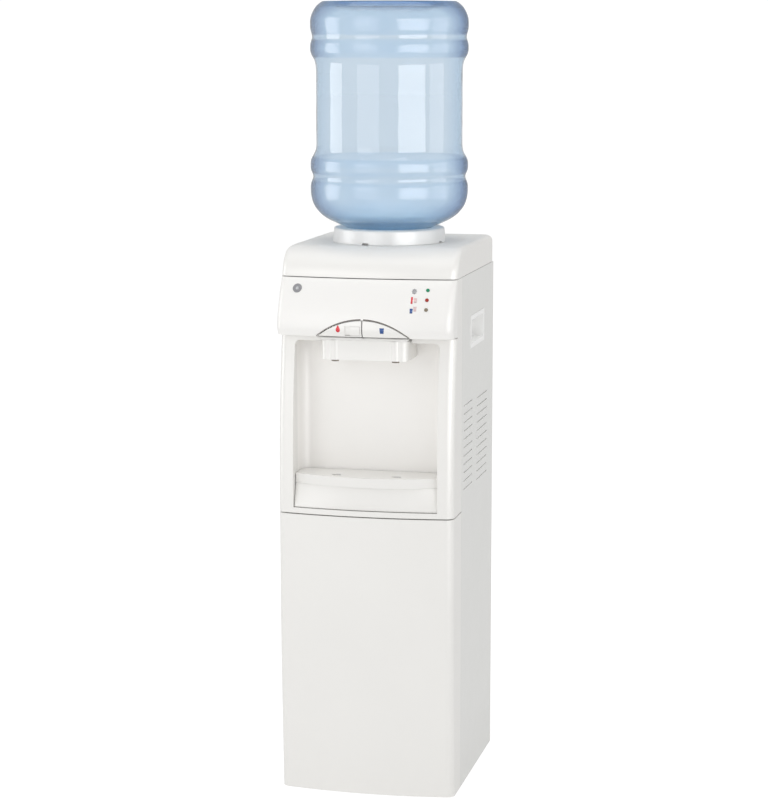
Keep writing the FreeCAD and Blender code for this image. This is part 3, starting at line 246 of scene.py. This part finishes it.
def blue_shell():
    """Clear blue polycarbonate: deeper where the wall is seen edge on, with that deepening painted stronger
    on the right than on the left as painted shade, finely frosted on the ringed ends.
    """
    made = bpy.data.materials.new("bottle_blue")
    made.use_nodes = True
    tree = made.node_tree
    shader = tree.nodes["Principled BSDF"]
    coords = node_of(tree, "ShaderNodeTexCoord").outputs["Object"]
    split = node_of(tree, "ShaderNodeSeparateXYZ")
    tree.links.new(coords, split.inputs["Vector"])
    ends = banded(tree, split.outputs["Z"], RINGED_BANDS)
    patches = noise(tree, coords, *SHELL_CLOUDS)
    smooth = mixed(tree, patches, *map(rgba, SMOOTH_SHADES))
    ringed = mixed(tree, patches, *map(rgba, RINGED_SHADES))
    face_on = mixed(tree, ends, smooth, ringed)
    edge_on = mixed(tree, ends, rgba(SMOOTH_EDGE), rgba(RINGED_EDGE))
    turn = node_of(tree, "ShaderNodeLayerWeight", Blend=0.5)
    leaning = mapped(tree, turn.outputs["Facing"], *EDGE_FACING, 0.0, 1.0)
    # Painted shade: the edge-on deepening grows from the bottle's left side to its right.
    across = mapped(tree, split.outputs["X"], -PAINTED_SHADE_SPAN, PAINTED_SHADE_SPAN, PAINTED_SHADE_LEFT, PAINTED_SHADE_RIGHT)
    shade = mixed(tree, maths(tree, "MULTIPLY", leaning, across), face_on, edge_on)
    neck = mapped(tree, split.outputs["Z"], *NECK_SPAN, NECK_SHARE, 0.0)
    shade = mixed(tree, neck, shade, rgba(NECK_BLUE))
    base = mapped(tree, split.outputs["Z"], *BASE_SPAN, 0.0, BASE_SHARE)
    shade = mixed(tree, base, shade, rgba(BASE_BLUE))
    tree.links.new(shade, shader.inputs["Base Color"])
    shader.inputs["Transmission Weight"].default_value = 1.0
    shader.inputs["IOR"].default_value = 1.33
    shader.inputs["Specular IOR Level"].default_value = 0.4
    cloudy = mapped(tree, noise(tree, coords, *FROST_NOISE), *FROST_SPAN, *FROST_ROUGH)
    frost = maths(tree, "MULTIPLY", ends, cloudy)
    tree.links.new(maths(tree, "ADD", frost, CLEAR_ROUGH), shader.inputs["Roughness"])
    pimply = mapped(tree, ends, 0.0, 1.0, 0.0, PIMPLE_SHARE)
    pimples = maths(tree, "MULTIPLY", noise(tree, coords, *PIMPLE_NOISE), pimply)
    waves = maths(tree, "ADD", noise(tree, coords, *WAVE_NOISE), pimples)
    bump = node_of(tree, "ShaderNodeBump")
    bump.inputs["Strength"].default_value = 0.5
    bump.inputs["Distance"].default_value = 0.0005
    tree.links.new(waves, bump.inputs["Height"])
    tree.links.new(bump.outputs["Normal"], shader.inputs["Normal"])
    return made


MATERIALS["bottle_blue"] = blue_shell()

# ---------------------------------------------------------------- CAD nodes that stay
for part in frame["record"]["subparts"]:
    kept = NODES[part["node"]]
    kept.data.materials.clear()
    kept.data.materials.append(MATERIALS[part["material_slot"]])


# ---------------------------------------------------------------- mesh helpers
def caster(name):
    """Function that gives the first point that a ray meets on a CAD node, or None."""
    mesh = NODES[name].data
    verts = [v.co.copy() for v in mesh.vertices]
    tree = BVHTree.FromPolygons(verts, [list(p.vertices) for p in mesh.polygons])
    return lambda place, direction: tree.ray_cast(Vector(place), Vector(direction))[0]


def piece(name, verts, faces, body, slot, replaces=(), finish=None):
    """Smooth-shaded mesh that rides on a body, in its slot's material or a finish of its own."""
    mesh = bpy.data.meshes.new(name)
    mesh.from_pydata([tuple(v) for v in verts], [], faces)
    clean = bmesh.new()
    clean.from_mesh(mesh)
    bmesh.ops.remove_doubles(clean, verts=clean.verts, dist=1e-6)
    bmesh.ops.recalc_face_normals(clean, faces=clean.faces)
    clean.to_mesh(mesh)
    clean.free()
    made = bpy.data.objects.new(name, mesh)
    SCENE.collection.objects.link(made)
    mesh.shade_smooth()
    mesh.materials.append(finish or MATERIALS[slot])
    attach(made, body)
    if replaces:
        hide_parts(*replaces)


def grid(columns, closed=False):
    """Vertices and quads of columns of points; the last column may join the first."""
    count = len(columns[0])
    verts = [p for column in columns for p in column]
    faces = []
    for i in range(len(columns) - (0 if closed else 1)):
        j = (i + 1) % len(columns)
        for k in range(count - 1):
            faces.append((i * count + k, j * count + k, j * count + k + 1, i * count + k + 1))
    return verts, faces


def add(first, second):
    """Two (verts, faces) meshes as one."""
    base = len(first[0])
    return first[0] + list(second[0]), first[1] + [tuple(base + i for i in face) for face in second[1]]


def turned(profile, axis_x, axis_y, count):
    """Closed (radius, height) profile turned about an upright axis."""
    columns = []
    for i in range(count):
        angle = math.tau * i / count
        columns.append([(axis_x + r * math.cos(angle), axis_y + r * math.sin(angle), z) for r, z in profile])
    return grid(columns, closed=True)


def spaced(a, b, count):
    """Evenly spaced numbers from a to b, both included."""
    return [a + (b - a) * (i / (count - 1)) for i in range(count)]


# ---------------------------------------------------------------- bottle
WALL = 0.0017
END_GAP = 0.0003
SIDE_STEPS, BASE_STEPS, TURN_STEPS = 200, 26, 128
SMOOTH_REACH = 2
SIDE_RAY = (0.41, -0.29)        # where the side rays start from the axis, clear of seams in the CAD mesh
BASE_RAY_OFFSET = 0.0004


def smoothed(values, reach):
    """Running mean that keeps the two ends."""
    result = []
    for i in range(len(values)):
        near = min(reach, i, len(values) - 1 - i)
        window = values[i - near:i + near + 1]
        result.append(sum(window) / len(window))
    return result


def blown_bottle():
    """Two-walled bottle turned from the outline that rays find on the CAD one."""
    low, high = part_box("bottle")
    axis_x, axis_y = (low.x + high.x) / 2, (low.y + high.y) / 2
    hit = caster("bottle")
    heights = spaced(low.z + END_GAP, high.z - END_GAP, SIDE_STEPS)
    radii = []
    for z in heights:
        found = hit((axis_x + SIDE_RAY[0], axis_y + SIDE_RAY[1], z), (-SIDE_RAY[0], -SIDE_RAY[1], 0))
        radii.append(math.hypot(found.x - axis_x, found.y - axis_y))
    outside = list(zip(smoothed(radii, SMOOTH_REACH), heights))
    for r in spaced(radii[-1] - 0.001, 0.0, BASE_STEPS):
        found = hit((axis_x + r, axis_y + BASE_RAY_OFFSET, high.z + 0.1), (0, 0, -1))
        outside.append((r, found.z))
    line = [Vector(p) for p in outside]
    inside = []
    for i, point in enumerate(line):
        along = line[min(i + 1, len(line) - 1)] - line[max(i - 1, 0)]
        normal = Vector((along.y, -along.x)).normalized()
        inner = point - normal * WALL
        inside.append((max(inner.x, 0.0), inner.y))
    inside[-1] = (0.0, inside[-1][1])
    closed = outside + inside[::-1] + outside[:1]
    verts, faces = turned(closed, axis_x, axis_y, TURN_STEPS)
    piece("bottle_shell", verts, faces, "bottle", "bottle_blue", ("bottle",))


blown_bottle()


# ---------------------------------------------------------------- side louvres
LOUVRE_COLUMNS = (-0.062, 0.065)
SCAN_FOOT, SCAN_STEP, SCAN_STEPS = 0.50, 0.0001, 2400
RAY_START = 0.02
SKIN_DEPTH = 0.0006
LIP_GAP = 0.0001
LIP_FRONT, LIP_FACE, LIP_FOOT, LIP_DEPTH = 0.0002, 0.0003, 0.0017, 0.0030
LIP_FACE_DROP = 0.0009
LIP_STEPS = 9


def louvre_blades(name, side):
    """Slanting lips pressed inwards behind each slot of a side panel, as (verts, faces)."""
    low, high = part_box(name)
    hit = caster(name)
    outer = high.x if side > 0 else low.x
    parts = ([], [])
    for y in LOUVRE_COLUMNS:
        edges = []
        was_open = False
        for i in range(SCAN_STEPS):
            z = SCAN_FOOT + i * SCAN_STEP
            found = hit((outer + side * RAY_START, y, z), (-side, 0, 0))
            is_open = found is None or abs(found.x - outer) > SKIN_DEPTH
            if is_open != was_open:
                edges.append(z)
                was_open = is_open
        for bottom, top in zip(edges[::2], edges[1::2]):
            middle = (bottom + top) / 2
            ends = [hit((outer - side * 0.0004, y, middle), (0, step, 0)).y for step in (-1, 1)]
            front, back = ends[0] + LIP_GAP, ends[1] - LIP_GAP
            roof, sill = top - LIP_GAP, bottom + LIP_GAP
            section = [
                (LIP_FRONT, roof), (LIP_DEPTH, roof), (LIP_DEPTH, sill), (LIP_FOOT, sill),
                (LIP_FACE, top - LIP_FACE_DROP), (LIP_FRONT, roof),
            ]
            columns = [
                [(outer - side * depth, at, z) for depth, z in section]
                for at in spaced(front, back, LIP_STEPS)
            ]
            verts, faces = grid(columns)
            corners = len(section) - 1
            caps = [tuple(range(corners)), tuple(len(verts) - len(section) + k for k in range(corners))]
            parts = add(parts, (verts, faces + caps))
    return parts


for side_name, side_sign in (("left", -1), ("right", 1)):
    blades = louvre_blades("side_panel_" + side_name, side_sign)
    piece("louvres_" + side_name, *blades, "cabinet", "white_steel")


# ---------------------------------------------------------------- printed marks
PRINT = 0.00018
PRINT_ROOT = 0.0001
CAST_FROM = -0.5


def mark(name, outline, x, z, node, body, slot, finish):
    """Thin raised print on the front of a node, of an outline in millimetres that its centre sees all of."""
    hit = caster(node)
    rim = [(x + dx / 1000, z + dz / 1000) for dx, dz in outline]
    front, back = [], []
    for px, pz in rim:
        found = hit((px, CAST_FROM, pz), (0, 1, 0))
        front.append((px, found.y - PRINT, pz))
        back.append((px, found.y + PRINT_ROOT, pz))
    middle = hit((x, CAST_FROM, z), (0, 1, 0))
    count = len(rim)
    verts = front + back + [(x, middle.y - PRINT, z), (x, middle.y + PRINT_ROOT, z)]
    faces = []
    for i in range(count):
        j = (i + 1) % count
        faces += [(i, j, 2 * count), (j, i, count + i)]
        faces += [(j, count + i, count + j), (count + j, count + i, 2 * count + 1)]
    piece(name, verts, faces, body, slot, finish=finish)


def ring(radii, count):
    """Points round a centre, whose distances from it take the radii in turn."""
    turns = [(radii[i % len(radii)], math.tau * i / count) for i in range(count)]
    return [(r * math.cos(angle), r * math.sin(angle)) for r, angle in turns]


DROP = [(0, 6.6), (1.7, 4.0), (3.2, 0.8), (3.8, -1.6), (3.0, -4.2), (1.6, -5.4), (0, -5.8), (-1.6, -5.4),
        (-3.0, -4.2), (-3.8, -1.6), (-3.2, 0.8), (-1.7, 4.0)]
CUP = [(-3.9, 4.6), (3.9, 4.6), (3.6, 0.5), (3.0, -4.6), (-3.0, -4.6), (-3.6, 0.5)]
SUN = ring((4.7, 3.5), 16)
DOT = ring((2.7,), 20)
BAR = [(-1.6, 5.4), (1.6, 5.4), (1.6, -5.4), (-1.6, -5.4)]
BLOCK = [(-2.6, 3.6), (2.6, 3.6), (2.2, -4.0), (-2.2, -4.0)]
HOT_X, COLD_X = -0.0412, 0.0340
DROP_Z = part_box("hot_key")[0].z + 0.0135
CUP_Z = DROP_Z - 0.0015

mark("hot_mark", DROP, HOT_X, DROP_Z, "hot_key", "hot_key", "switch_red", MARK_RED)
mark("cold_mark", CUP, COLD_X, CUP_Z, "cold_key", "cold_key", "cap_blue", MARK_BLUE)
# Beside each lamp: its node, the mark's name and outline, millimetres across and up from it, slot and finish.
STATUS_MARKS = (
    ("led_green", "power_mark", SUN, -21.6, 0.3, "badge_grey", MARK_GREY),
    ("led_red", "heating_mark", BAR, -24.4, 1.2, "switch_red", MARK_RED),
    ("led_red", "heating_ghost", BLOCK, -18.4, 1.2, "badge_grey", PALE_MARK),
    ("led_amber", "cooling_mark", BLOCK, -24.0, -0.2, "cap_blue", MARK_BLUE),
    ("led_amber", "cooling_ghost", BLOCK, -18.0, 3.0, "badge_grey", PALE_MARK),
)
badge_low, badge_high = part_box("badge")
badge_middle = (badge_low + badge_high) / 2
mark("badge_dot", DOT, badge_middle.x, badge_middle.z, "badge", "cabinet", "badge_grey", PALE_GREY)
for lamp, name, outline, across, up, slot, finish in STATUS_MARKS:
    lamp_low, lamp_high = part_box(lamp)
    centre = (lamp_low + lamp_high) / 2
    place = (centre.x + across / 1000, centre.z + up / 1000)
    mark(name, outline, *place, "header_panel", "cabinet", slot, finish)


# ---------------------------------------------------------------- painted arch groove shade and housing lid
ARCH_SPAN, ARCH_RISE = 0.0805, 0.030
ARCH_SHARE = 0.985
ARCH_BREAK = 0.0022
ARCH_STEPS = 40
BAND_GAP, BAND_WIDTH, BAND_TAPER = 0.0002, 0.0019, 0.55
BAND_ROOT = -0.0004
CAST_LIFT = 0.0004
CAST_LOWEST = 0.0055            # the header's front skin is cut back below this height over its foot


def arch_groove_shade():
    """Painted shade: dark band along the header's edge over the keys, standing for the shadow in the groove
    there, broken at the middle.
    """
    hit = caster("header_panel")
    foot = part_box("header_panel")[0].z
    radius = (ARCH_SPAN ** 2 + ARCH_RISE ** 2) / (2 * ARCH_RISE)
    centre_z = foot + ARCH_RISE - radius
    widest = math.asin(ARCH_SPAN / radius)
    outermost, innermost = widest * ARCH_SHARE, ARCH_BREAK / radius
    for name, low, high in (("arch_groove_left", -outermost, -innermost),
                            ("arch_groove_right", innermost, outermost)):
        columns = []
        for angle in spaced(low, high, ARCH_STEPS):
            far = BAND_GAP + BAND_WIDTH * (1.0 - BAND_TAPER * abs(angle) / widest)
            column = []
            for offset, lift in ((BAND_GAP, BAND_ROOT), (BAND_GAP, PRINT), (far, PRINT), (far, BAND_ROOT)):
                x = (radius + offset) * math.sin(angle)
                z = centre_z + (radius + offset) * math.cos(angle)
                found = hit((x, CAST_FROM, max(z + CAST_LIFT, foot + CAST_LOWEST)), (0, 1, 0))
                column.append((x, found.y - lift, z))
            columns.append(column + column[:1])
        verts, faces = grid(columns)
        caps = [tuple(range(4)), tuple(len(verts) - 5 + k for k in range(4))]
        piece(name, verts, faces + caps, "cabinet", "badge_grey", finish=GROOVE_SHADE)


LID_HOLE, LID_THICK, LID_CHAMFER = 0.0092, 0.0011, 0.0012
LID_FOOT, LID_TOP = 0.0002, 0.0056
LID_INSET, LID_REAR_INSET = 0.0008, 0.001
LID_STEPS = 48


def housing_lid():
    """Cap closing the faucet housing up to just under the keys, with a hole round each valve."""
    low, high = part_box("faucet_housing")
    valve_low, valve_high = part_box("cold_faucet_body")
    axis_x = (valve_low.x + valve_high.x) / 2
    axis_y = valve_low.y + (valve_high.x - valve_low.x) / 2
    foot, top = high.z + LID_FOOT, high.z + LID_TOP
    parts = ([], [])
    for side in (-1, 1):
        x_range = sorted((0.0, side * (high.x - LID_INSET)))
        y_range = (low.y + LID_INSET, high.y - LID_REAR_INSET)
        corners = [(x, y) for x in x_range for y in y_range]
        angles = {math.atan2(y - axis_y, x - side * axis_x) for x, y in corners}
        angles |= {math.tau * i / LID_STEPS - math.pi for i in range(LID_STEPS)}
        columns = []
        for angle in sorted(angles):
            across, along = math.cos(angle), math.sin(angle)
            reach = []
            if abs(across) > 1e-9:
                reach.append(((x_range[1] if across > 0 else x_range[0]) - side * axis_x) / across)
            if abs(along) > 1e-9:
                reach.append(((y_range[1] if along > 0 else y_range[0]) - axis_y) / along)
            far = min(reach)
            rim = [
                (LID_HOLE, top - LID_THICK), (LID_HOLE, top),
                (far - LID_CHAMFER, top), (far, top - LID_CHAMFER),
                (far, foot), (far - LID_THICK, foot), (far - LID_THICK, top - LID_THICK),
                (LID_HOLE, top - LID_THICK),
            ]
            columns.append([(side * axis_x + r * across, axis_y + r * along, z) for r, z in rim])
        parts = add(parts, grid(columns, closed=True))
    piece("housing_lid", *parts, "cabinet", "white_plastic")


arch_groove_shade()
housing_lid()

# ---------------------------------------------------------------- softened edges
SHARP_FROM = math.radians(50)
SOFT_EDGES = {
    "header_panel": 0.0012, "front_frame": 0.0010, "lower_front_panel": 0.0012, "faucet_housing": 0.0012,
    "drip_cover": 0.0009, "drip_tray": 0.0008, "bottle_collar": 0.0010, "top_cover": 0.0010,
    "hot_key": 0.0006, "cold_key": 0.0006, "side_grip_left": 0.0004, "side_grip_right": 0.0004,
}
for node, width in SOFT_EDGES.items():
    soften = NODES[node].modifiers.new("edge", "BEVEL")
    soften.width = width
    soften.segments = 2
    soften.limit_method = "ANGLE"
    soften.angle_limit = SHARP_FROM

# The collar's bright white is painted light against the bottle's shade.
OWN_FINISHES = {
    "bottle_collar": BRIGHT_WHITE, "side_grip_left": BRIGHT_WHITE, "side_grip_right": BRIGHT_WHITE,
    "hot_faucet_body": NOZZLE, "cold_faucet_body": NOZZLE,
}
for node, finish in OWN_FINISHES.items():
    NODES[node].data.materials[0] = finish


# ---------------------------------------------------------------- stage
def light(name, place, target, size, power):
    """White area light that faces its target."""
    data = bpy.data.lights.new(name, "AREA")
    data.shape = "RECTANGLE"
    data.size, data.size_y = size
    data.energy = power
    lamp = bpy.data.objects.new(name, data)
    SCENE.collection.objects.link(lamp)
    lamp.location = place
    lamp.rotation_euler = (Vector(target) - Vector(place)).to_track_quat("-Z", "Y").to_euler()
    return lamp


SKY_SEEN, SKY_LIT, SKY_MIRRORED = 1.05, 0.72, 0.48
FLOOR_GLOW, FLOOR_MIRRORED, FLOOR_GREY, FLOOR_REACH = 0.84, 0.32, 0.28, 40.0
WHITE = (1.0, 1.0, 1.0)
# Lights that only reflections show, round the cooler: name, azimuth in degrees, width and radiance.
WINDOWS = (
    ("window_right", -42.0, 1.9, 8.5), ("window_left", -168.0, 1.1, 6.0),
    ("window_middle", -110.0, 1.5, 2.8), ("window_far", 1.0, 1.2, 3.0),
)
WINDOW_DISTANCE, WINDOW_Z, WINDOW_TALL = 2.4, 1.15, 1.7
CAMERA_PLACE = (0.9286, -4.0634, 1.3131)
CAMERA_DOWN, CAMERA_TURN = 8.904, 13.018
LENS, SENSOR, CAMERA_REACH = 108.0, 36.0, 60.0


def ray_level(tree, seen, lit, mirrored):
    """Strength that differs for what is seen straight or through glass, what lights, and what is mirrored."""
    path = node_of(tree, "ShaderNodeLightPath").outputs
    direct = maths(tree, "MAXIMUM", path["Is Camera Ray"], path["Is Transmission Ray"])
    mirror = maths(tree, "SUBTRACT", path["Is Glossy Ray"], direct, clamp=True)
    plain = mapped(tree, direct, 0.0, 1.0, lit, seen)
    return maths(tree, "ADD", plain, mapped(tree, mirror, 0.0, 1.0, 0.0, mirrored - lit))


def floor_and_sky():
    """Pale glowing floor and an even white sky."""
    mesh = bpy.data.meshes.new("floor")
    corners = [(FLOOR_REACH * x, FLOOR_REACH * y, 0) for x, y in ((-1, -1), (1, -1), (1, 1), (-1, 1))]
    mesh.from_pydata(corners, [], [(0, 1, 2, 3)])
    floor = bpy.data.objects.new("floor", mesh)
    SCENE.collection.objects.link(floor)
    made = bpy.data.materials.new("floor")
    made.use_nodes = True
    shader = made.node_tree.nodes["Principled BSDF"]
    shader.inputs["Base Color"].default_value = (FLOOR_GREY, FLOOR_GREY, FLOOR_GREY, 1.0)
    shader.inputs["Roughness"].default_value = 1.0
    shader.inputs["Specular IOR Level"].default_value = 0.0
    shader.inputs["Emission Color"].default_value = rgba(WHITE)
    glow = ray_level(made.node_tree, FLOOR_GLOW, FLOOR_GLOW, FLOOR_MIRRORED)
    made.node_tree.links.new(glow, shader.inputs["Emission Strength"])
    mesh.materials.append(made)

    world = bpy.data.worlds.new("studio")
    SCENE.world = world
    world.use_nodes = True
    tree = world.node_tree
    back = tree.nodes["Background"]
    tree.links.new(ray_level(tree, SKY_SEEN, SKY_LIT, SKY_MIRRORED), back.inputs["Strength"])
    back.inputs["Color"].default_value = rgba(WHITE)


def lamps():
    """Two soft lights, and four that only reflections show."""
    light("key", (-1.6, -3.2, 2.2), (0, 0, 0.75), (1.6, 2.2), 14.5)
    light("overhead", (0, -0.2, 3.4), (0, 0, 0.9), (2.6, 2.6), 33.0)
    for name, azimuth, width, radiance in WINDOWS:
        angle = math.radians(azimuth)
        place = (WINDOW_DISTANCE * math.cos(angle), WINDOW_DISTANCE * math.sin(angle), WINDOW_Z)
        power = radiance * math.pi * width * WINDOW_TALL
        lamp = light(name, place, (0, 0, WINDOW_Z), (width, WINDOW_TALL), power)
        lamp.visible_diffuse = False
        lamp.visible_camera = False
        lamp.visible_transmission = False


def camera_like_the_photograph():
    """Camera where the fit to the photograph puts it."""
    camera_data = bpy.data.cameras.new("camera")
    camera_data.lens = LENS
    camera_data.sensor_width = SENSOR
    camera_data.clip_end = CAMERA_REACH
    camera = bpy.data.objects.new("camera", camera_data)
    SCENE.collection.objects.link(camera)
    camera.location = CAMERA_PLACE
    camera.rotation_euler = (math.radians(90 - CAMERA_DOWN), 0, math.radians(CAMERA_TURN))
    SCENE.camera = camera
    SCENE.view_settings.view_transform = "Standard"


floor_and_sky()
lamps()
camera_like_the_photograph()
